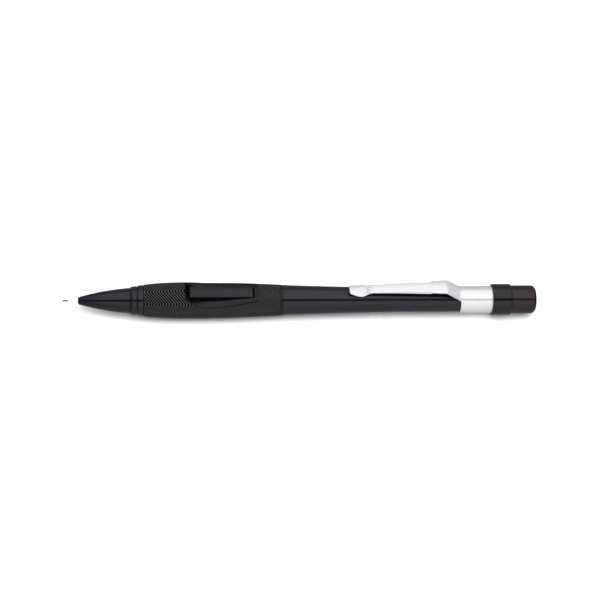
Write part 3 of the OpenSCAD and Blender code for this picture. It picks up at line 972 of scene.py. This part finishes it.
# Half the lobe's width along it, from the clip's tip.
LOBE_WIDTH = [
    (0, 1.35), (0.12, 1.55), (0.4, 1.70), (1.2, 1.90), (2.4, 2.17), (3.7, 2.31),
    (4.5, 2.18), (5.2, 1.90), (5.8, 1.70), (6.4, 1.64), (6.8, NECK_HALF),
]


def past_bend(s):
    """How far a station is from the bend at 0 to the band at 1."""
    return (s - BEND_S) / (BAND_S - BEND_S)


def clip_height(s):
    """Height of the arm's outer face along its middle."""
    if s < BEND_S:
        return CLIP_TOP_H - through(CLIP_DROP, s - CLIP_S)
    return mix(BAND_R, CLIP_TOP_H, through(BEND_FALL, past_bend(s)))


def clip_half_width(s):
    """Half the arm's width, measured along the sheet."""
    if s < NECK_S:
        return through(LOBE_WIDTH, s - CLIP_S)
    if s < FOLD_END_S:
        return mix(NECK_HALF, FOLD_END_HALF, (s - NECK_S) / (FOLD_END_S - NECK_S))
    if s < BEND_S:
        return mix(FOLD_END_HALF, BEND_HALF, (s - FOLD_END_S) / (BEND_S - FOLD_END_S))
    return mix(BEND_HALF, BAND_R * ROOT_HALF_ARC, past_bend(s))


def clip_bow(s):
    """How strongly the sheet is curved across, as one over its radius."""
    if s < BEND_S:
        return mix(1 / LOBE_BOW_R, 1 / ARM_BOW_R, smooth_step((s - CLIP_S) / (NECK_S - CLIP_S)))
    return mix(1 / ARM_BOW_R, 1 / BAND_R, smooth_step(past_bend(s)))


def clip_point(s, across):
    """A point on the clip's outer face, at a distance across it measured along the sheet."""
    bow = clip_bow(s)
    angle = across * bow
    from_lobe = math.hypot((s - LOBE_S) / 1.9, across / 1.25)
    dimple = DIMPLE_DEPTH * smooth_step((1 - from_lobe) / 0.35)
    return s, math.sin(angle) / bow, clip_height(s) - (1 - math.cos(angle)) / bow - dimple


def clip_stations():
    """Stations of the rows of the arm's mesh, closer together where it bends."""
    stretches = [
        (CLIP_S, NECK_S + 1, 44),
        (NECK_S + 1, FOLD_END_S, 26),
        (FOLD_END_S, BEND_S - 0.3, 10),
        (BEND_S - 0.3, BEND_S + 0.5, 8),
        (BEND_S + 0.5, BAND_S, 16),
    ]
    rows = []
    for first, last, count in stretches:
        rows += [mix(first, last, k / count) for k in range(1, count)] + [last]
    return rows


def clip_edge(s, side, inner, turn, tail):
    """The strip along one edge of the arm, bent down by a turn and ending in a straight tail."""
    x, y, h = clip_point(s, side * inner)
    heading = inner * clip_bow(s)
    step = FOLD_LENGTH / FOLD_STEPS
    points = []
    for _ in range(FOLD_STEPS):
        heading += (turn / FOLD_LENGTH + clip_bow(s)) * step
        y, h = y + side * step * math.cos(heading), h - step * math.sin(heading)
        points.append((x, y, h))
    points.append((x, y + side * tail * math.cos(heading), h - tail * math.sin(heading)))
    return points


def clip_row(bm, s, folded):
    """One row of the arm's mesh from its left edge to its right edge, with its sides folded down or flat."""
    grow = smooth_step((s - NECK_S) / 1.6) if folded else 0
    deep = mix(0.08, FOLD_DEPTH, (s - NECK_S) / (FOLD_END_S - NECK_S))
    turn, tail = FOLD_TURN * grow, mix(0.03, deep, grow)
    bent = FOLD_LENGTH * (math.sin(turn) / turn if turn > 0.01 else 1)
    inner = clip_half_width(s) - bent - tail * math.cos(turn)
    flat = [clip_point(s, inner * (2 * k / CLIP_COLUMNS - 1)) for k in range(CLIP_COLUMNS + 1)]
    left, right = (clip_edge(s, side, inner, turn, tail) for side in (-1, 1))
    return [bm.verts.new(p) for p in left[::-1] + flat + right]


def join_rows(bm, a, b):
    """Adds the faces between two rows of vertices."""
    for k in range(len(a) - 1):
        bm.faces.new([a[k], a[k + 1], b[k + 1], b[k]])


def arm_mesh(bm):
    """Adds the arm from its tip to the band, and gives back its last row."""
    strip = FOLD_STEPS + 1
    row = clip_row(bm, CLIP_S, False)
    for s in clip_stations():
        following = clip_row(bm, s, NECK_S < s <= FOLD_END_S)
        join_rows(bm, row, following)
        row = following
        if s == FOLD_END_S:
            flat = clip_row(bm, s, False)
            for k in range(strip, len(row) - strip):
                bmesh.ops.delete(bm, geom=[flat[k]], context="VERTS")
                flat[k] = row[k]
            row = flat
    return row


def band_mesh(bm, front):
    """Adds the band, whose front edge takes in the arm's last row."""
    rest, steps = 96, 8
    arc = [math.atan2(v.co.y, v.co.z) for v in front]
    gap = arc[0] + 2 * math.pi - arc[-1]
    angles = arc + [arc[-1] + gap * k / rest for k in range(1, rest)]

    def edge(s, turns):
        return [bm.verts.new((s, BAND_R * math.sin(a), BAND_R * math.cos(a))) for a in turns]

    ring = front + edge(BAND_S, angles[len(front):])
    for k in range(1, steps + 1):
        following = edge(mix(BAND_S, BAND_END_S, k / steps), angles)
        join_rows(bm, ring + ring[:1], following + following[:1])
        ring = following


def make_clip():
    """Arm, folded sides and band as the one stamped sheet that they are."""
    bm = bmesh.new()
    band_mesh(bm, arm_mesh(bm))
    clip = finish_sheet(bm, "clip_and_band")
    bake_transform(clip)
    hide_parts("clip_arm", "clip_band")


def finish_sheet(bm, name):
    """Gives the clip's sheet its thickness, with painted shade on its inner face, and rounds its stamped
    edges.
    """
    bmesh.ops.recalc_face_normals(bm, faces=bm.faces)
    up = sum(f.normal.z for f in bm.faces if f.calc_center_median().x < BEND_S)
    if up < 0:
        bmesh.ops.reverse_faces(bm, faces=bm.faces)
    for v in bm.verts:
        v.co = at(*v.co)
    mesh = bpy.data.meshes.new(name)
    bm.to_mesh(mesh)
    bm.free()
    sheet = bpy.data.objects.new(name, mesh)
    bpy.context.scene.collection.objects.link(sheet)
    mesh.materials.append(CLIP_CHROME)
    mesh.materials.append(CLIP_INSIDE_SHADE)
    solid = sheet.modifiers.new("thickness", "SOLIDIFY")
    solid.thickness = SHEET_T * MM
    solid.offset = -1
    # The inner face takes the dark copy of the chrome, painted shade under the arm.
    solid.material_offset = 1
    solid.use_even_offset = False
    apply_modifiers(sheet)
    bevel_edges(sheet, 0.07, 2, 50)
    shade(sheet, 40)
    return sheet


# ---------------------------------------------------------------- eraser end


HOLDER_BORE_R = 2.2
HOLDER_PLUG_R = 2.95
CUP_R = 3.65
CUP_BORE_R = 3.2


def make_holder():
    """The collar, with the plug that goes into the barrel and the cup that holds the eraser."""
    collar_r = radius("eraser_holder")
    cap_r = radius("eraser_cap")
    seat_s, seat_r = CAP_S - FACE_GAP, cap_r + 0.05
    outline = [
        (COLLAR_S, 0, 0),
        (COLLAR_S, HOLDER_BORE_R, 0),
        (HOLDER_S, HOLDER_BORE_R, 0.05),
        (HOLDER_S, HOLDER_PLUG_R - 0.3, 0.1),
        (HOLDER_S + 0.3, HOLDER_PLUG_R, 0.1),
        (COLLAR_S, HOLDER_PLUG_R, 0),
        (COLLAR_S, collar_r, 0.28),
        (COLLAR_END_S - 0.45, collar_r, 0.1),
        (COLLAR_END_S, collar_r - 0.22, 0.06),
        (COLLAR_END_S, seat_r, 0.04),
        (seat_s, seat_r, 0),
        (seat_s, CUP_R, 0),
        (HOLDER_END_S, CUP_R, 0.1),
        (HOLDER_END_S, CUP_BORE_R, 0.08),
        (ERASER_S, CUP_BORE_R, 0),
        (ERASER_S, 0, 0),
    ]
    holder = lathe("eraser_holder_collar", outline, COLLAR_BLACK, FINE)
    place(holder, "holder_body", "collar_plastic", "eraser_holder")


def make_eraser():
    """The white eraser that plugs the cup."""
    eraser_r = CUP_BORE_R - 0.02
    eraser = lathe("eraser_plug", [
        (ERASER_S, 0, 0),
        (ERASER_S, eraser_r, 0),
        (ERASER_END_S, eraser_r, 0.7),
        (ERASER_END_S, 0, 0),
    ], ERASER_WHITE, 96)
    place(eraser, "holder_body", "eraser_rubber", "eraser")


def make_cap():
    """The cap: a thin cup with a rounded edge and an almost flat end."""
    cap_r = radius("eraser_cap")
    wall, end_wall = 0.7, 1.2
    edge, dome = 1.5, 0.12
    edge_steps, dome_steps = 14, 8
    outline = [
        (CAP_S, cap_r - wall, 0.1),
        (CAP_S, cap_r, 0.15),
    ]
    shoulder = CAP_END_S - dome - edge
    turns = [math.radians(86 * k / edge_steps) for k in range(edge_steps + 1)]
    outline += [(shoulder + edge * math.sin(a), cap_r - edge * (1 - math.cos(a)), 0) for a in turns]
    dome_s, dome_r, _ = outline[-1]
    shares = [k / dome_steps for k in range(1, dome_steps + 1)]
    outline += [(mix(dome_s, CAP_END_S, 1 - (1 - t) ** 2), dome_r * (1 - t), 0) for t in shares]
    outline += [
        (CAP_END_S - end_wall, 0, 0),
        (CAP_END_S - end_wall, cap_r - wall, 0.4),
    ]
    cap = lathe("eraser_cap_shell", outline, CAP_MAROON, FINE)
    place(cap, "cap_body", "cap_plastic", "eraser_cap")


# ---------------------------------------------------------------- inside


def make_spring():
    """The chuck spring as a coil of round wire."""
    first, last = span("chuck_spring")
    wire_r = 0.15
    coil_r = radius("chuck_spring") - wire_r
    turns, per_turn, sides = 11, 24, 10
    count = turns * per_turn
    bm = bmesh.new()
    rings = []
    for k in range(count + 1):
        t = k / count
        s = mix(first + wire_r, last - wire_r, t)
        angle = 2 * math.pi * turns * t
        ring = []
        for j in range(sides):
            a = 2 * math.pi * j / sides
            r = coil_r + wire_r * math.cos(a)
            ring.append(bm.verts.new((s + wire_r * math.sin(a), r * math.cos(angle), r * math.sin(angle))))
        rings.append(ring)
    for a, b in zip(rings, rings[1:]):
        for j in range(sides):
            bm.faces.new([a[j], a[(j + 1) % sides], b[(j + 1) % sides], b[j]])
    bm.faces.new(rings[0])
    bm.faces.new(rings[-1][::-1])
    spring = finish_mesh(bm, "chuck_spring_wire", SPRING_STEEL, 60)
    place(spring, "barrel_body", "spring_steel", "chuck_spring")
    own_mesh(spring)


CAD_MATERIALS = {
    "chuck": BRASS,
    "clutch_ring": BRASS,
    "sleeve_slider": BRASS,
    "lead_retainer": RETAINER_RUBBER,
    "chuck_housing": INNER_PLASTIC,
    "chuck_joint": INNER_PLASTIC,
    "lead_tube": INNER_PLASTIC,
    "cam_slider": INNER_PLASTIC,
    "spare_leads": LEAD_GRAPHITE,
}


def dress_cad_nodes():
    """Gives the inner parts that keep their CAD shape their materials."""
    for name, material in CAD_MATERIALS.items():
        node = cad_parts[name]
        node.data.materials.clear()
        node.data.materials.append(material)


# ---------------------------------------------------------------- stage, light and camera

# The camera's place round the pencil: its distance, and the width of what it sees there, are in metres.
VIEW_YAW = math.radians(5.6)
VIEW_TILT = math.radians(38)
VIEW_ROLL = math.radians(0.18)
VIEW_DISTANCE = 0.643
VIEW_FIELD = 0.18695
AIM = Vector((-0.41 * MM, 0, AXIS_H * MM))
AIM_UP = 0.02 * MM
SENSOR_WIDTH = 36


def view_back():
    """Unit vector from the pencil to the camera."""
    side = math.cos(VIEW_YAW)
    return Vector((-math.sin(VIEW_YAW), -side * math.sin(VIEW_TILT), side * math.cos(VIEW_TILT)))


def make_camera():
    """The camera, and the plain view transform that its picture is shown with."""
    back = view_back()
    right = (Vector((1, 0, 0)) - back * back.x).normalized()
    right = Matrix.Rotation(-VIEW_ROLL, 3, back) @ right
    up = back.cross(right)
    data = bpy.data.cameras.new("camera")
    data.sensor_width = SENSOR_WIDTH
    data.lens = SENSOR_WIDTH * VIEW_DISTANCE / VIEW_FIELD
    data.clip_start, data.clip_end = 0.01, 10
    camera = bpy.data.objects.new("camera", data)
    bpy.context.scene.collection.objects.link(camera)
    rotation = Matrix((right, up, back)).transposed().to_4x4()
    camera.matrix_world = Matrix.Translation(AIM + up * AIM_UP + back * VIEW_DISTANCE) @ rotation
    bpy.context.scene.camera = camera
    bpy.context.scene.view_settings.view_transform = "Standard"


def make_floor():
    """A pale floor, a hair below the pencil and left out of its reflections."""
    half_width, drop = 2.5, 0.0002
    bm = bmesh.new()
    bmesh.ops.create_grid(bm, x_segments=1, y_segments=1, size=half_width)
    mesh = bpy.data.meshes.new("floor")
    bm.to_mesh(mesh)
    bm.free()
    floor = bpy.data.objects.new("floor", mesh)
    bpy.context.scene.collection.objects.link(floor)
    shader = Shader("floor_white", (0.92, 0.92, 0.92), Roughness=0.9)
    shader.surface.inputs["Specular IOR Level"].default_value = 0.0
    mesh.materials.append(shader.material)
    floor.location.z = -drop
    floor.visible_glossy = False


# Brightness of the studio by angle from straight up, in degrees towards the camera's side. The dark slot
# stands where the camera would, and draws the thin dark line along the polished parts.
STUDIO = [
    (-180, 0.40), (-140, 0.32), (-110, 0.30), (-85, 0.34), (-66, 0.40), (-53, 0.50), (-44, 1.20), (-34, 1.30),
    (16, 1.55), (27, 1.38), (28.5, 1.20), (29.5, 0.10), (47.5, 0.10), (48.5, 1.20), (61, 1.34), (79, 1.12),
    (98, 0.90), (119, 0.75), (132, 0.65), (161, 0.50), (180, 0.40),
]
STUDIO_PEAK = max(level for _, level in STUDIO)

# How the studio dims along the pencil's direction, from the tip's side at -1 to the cap's side at 1.
STUDIO_ENDS = [
    (-1, 0.15), (-0.6, 0.15), (-0.5, 0.35), (-0.4, 0.75), (-0.3, 0.95), (-0.2, 1),
    (0.74, 1), (0.86, 0.35), (1, 0.15),
]


def make_studio():
    """A studio that changes from floor to ceiling and dims towards the pencil's two ends."""
    world = bpy.data.worlds.new("studio")
    bpy.context.scene.world = world
    world.use_nodes = True
    nodes, links = world.node_tree.nodes, world.node_tree.links

    def math_node(operation, *values):
        node = nodes.new("ShaderNodeMath")
        node.operation = operation
        for socket, value in zip(node.inputs, values):
            if isinstance(value, (int, float)):
                socket.default_value = value
            else:
                links.new(value, socket)
        return node.outputs["Value"]

    def level_ramp(value, stops):
        node = nodes.new("ShaderNodeValToRGB")
        elements = node.color_ramp.elements
        while len(elements) < len(stops):
            elements.new(0.5)
        for element, (position, level) in zip(elements, stops):
            element.position = position
            element.color = (level, level, level, 1)
        links.new(value, node.inputs["Fac"])
        return node.outputs["Color"]

    direction = nodes.new("ShaderNodeSeparateXYZ")
    links.new(nodes.new("ShaderNodeTexCoord").outputs["Generated"], direction.inputs["Vector"])
    x, y, z = (direction.outputs[axis] for axis in "XYZ")
    angle = math_node("ARCTAN2", math_node("MULTIPLY", y, -1.0), z)
    turn = math_node("MULTIPLY_ADD", angle, 0.5 / math.pi, 0.5)
    around = level_ramp(turn, [((degrees + 180) / 360, level / STUDIO_PEAK) for degrees, level in STUDIO])
    along = math_node("MULTIPLY_ADD", x, 0.5, 0.5)
    ends = level_ramp(along, [((place_at + 1) / 2, level) for place_at, level in STUDIO_ENDS])
    background = nodes["Background"]
    links.new(around, background.inputs["Color"])
    links.new(math_node("MULTIPLY", ends, STUDIO_PEAK), background.inputs["Strength"])


KEY_SIZE = 0.65
KEY_WATTS = 10
KEY_PLACE = (0, -0.37, 0.93)


def make_key():
    """A soft key light high on the camera's side, which lights matt surfaces and shows in no reflection."""
    light = bpy.data.lights.new("key", "AREA")
    light.shape = "RECTANGLE"
    light.size, light.size_y = KEY_SIZE, KEY_SIZE
    light.energy = KEY_WATTS
    key = bpy.data.objects.new("key", light)
    bpy.context.scene.collection.objects.link(key)
    key.location = KEY_PLACE
    key.rotation_euler = (-Vector(key.location)).to_track_quat("-Z", "Y").to_euler()
    key.visible_glossy = False


make_camera()
make_studio()
make_key()
make_floor()
make_nose()
make_nose_thread()
make_sleeve_and_lead()
make_grip()
make_button()
make_barrel()
make_clip()
make_holder()
make_eraser()
make_cap()
make_spring()
dress_cad_nodes()
